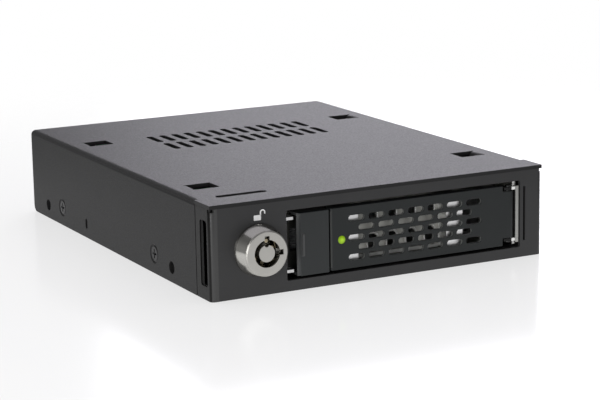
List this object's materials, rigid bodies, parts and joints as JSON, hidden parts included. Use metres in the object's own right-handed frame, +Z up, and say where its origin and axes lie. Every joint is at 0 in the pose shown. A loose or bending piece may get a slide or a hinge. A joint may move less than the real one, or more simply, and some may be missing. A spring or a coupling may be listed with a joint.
{
  "type": "drive bay adapter",
  "caption": "Flat black steel bay adapter with a pull-out tray for a small drive, a hinged perforated front flap, a sliding release button, a tubular key lock and a rear backplane.",
  "frame": {"origin": "middle of the casing's underside, halfway between front face and rear face", "axes": "+Z up, -Y out of the front where the lock and flap are, +X to the right seen from the front"},
  "size_m": [0.1016, 0.1352, 0.0254],
  "materials": {
    "casing_black": "fine-textured black powder coat",
    "bezel_black": "fine-textured black powder coat",
    "door_black": "smooth satin black paint",
    "button_black": "satin moulded black",
    "black_screw": "black oxide",
    "lock_nickel": "satin nickel plate",
    "lock_brass": "dull brass",
    "zinc_steel": "bright zinc plate",
    "tray_steel": "plain galvanised sheet",
    "spring_steel": "bright strip",
    "rail_plastic": "moulded black",
    "clear_plastic": "clear acrylic",
    "lens_green": "tinted lens",
    "board_green": "solder mask",
    "lamp_white": "moulded white",
    "connector_black": "moulded black",
    "contact_gold": "gold flash"
  },
  "bodies": {
    "chassis": {"base_plate": "casing_black", "top_cover": "casing_black", "front_bezel": "bezel_black", "tray_rail_left": "rail_plastic", "tray_rail_right": "rail_plastic", "lock_housing": "lock_nickel", "lock_nut": "zinc_steel", "casing_light_guide": "clear_plastic", "backplane_board": "board_green", "board_standoffs": "zinc_steel", "board_lamp": "lamp_white", "drive_connector": "connector_black", "drive_contacts": "contact_gold", "data_port": "connector_black", "power_port": "connector_black", "port_contacts": "contact_gold"},
    "lock": {"lock_spindle": "lock_nickel", "lock_pins": "lock_brass", "lock_cam": "zinc_steel"},
    "tray": {"tray_pan": "tray_steel", "tray_front_plate": "tray_steel", "hinge_pin": "zinc_steel", "tray_light_guide": "clear_plastic", "button_spring": "spring_steel", "door_spring": "spring_steel"},
    "button": {"release_button": "button_black", "button_retainer": "zinc_steel"},
    "door": {"door_panel": "door_black", "led_lens": "lens_green"}
  },
  "joints": [
    {"name": "tray_slide", "type": "slide", "parent": "chassis", "child": "tray", "axis": [0, -1, 0], "range_m": [0, 0.105]},
    {"name": "lock_turn", "type": "hinge", "parent": "chassis", "child": "lock", "pos_m": [-0.03705, -0.065, 0.0123], "axis": [0, 1, 0], "range_deg": [0, 90]},
    {"name": "door_hinge", "type": "hinge", "parent": "tray", "child": "door", "pos_m": [0.0406, -0.06345, 0.0123], "axis": [0, 0, 1], "range_deg": [0, 90]},
    {"name": "button_slide", "type": "slide", "parent": "tray", "child": "button", "axis": [-1, 0, 0], "range_m": [0, 0.002], "stiffness_N_per_m": 400, "springref_m": -0.001, "deforming": ["button_spring"]}
  ]
}
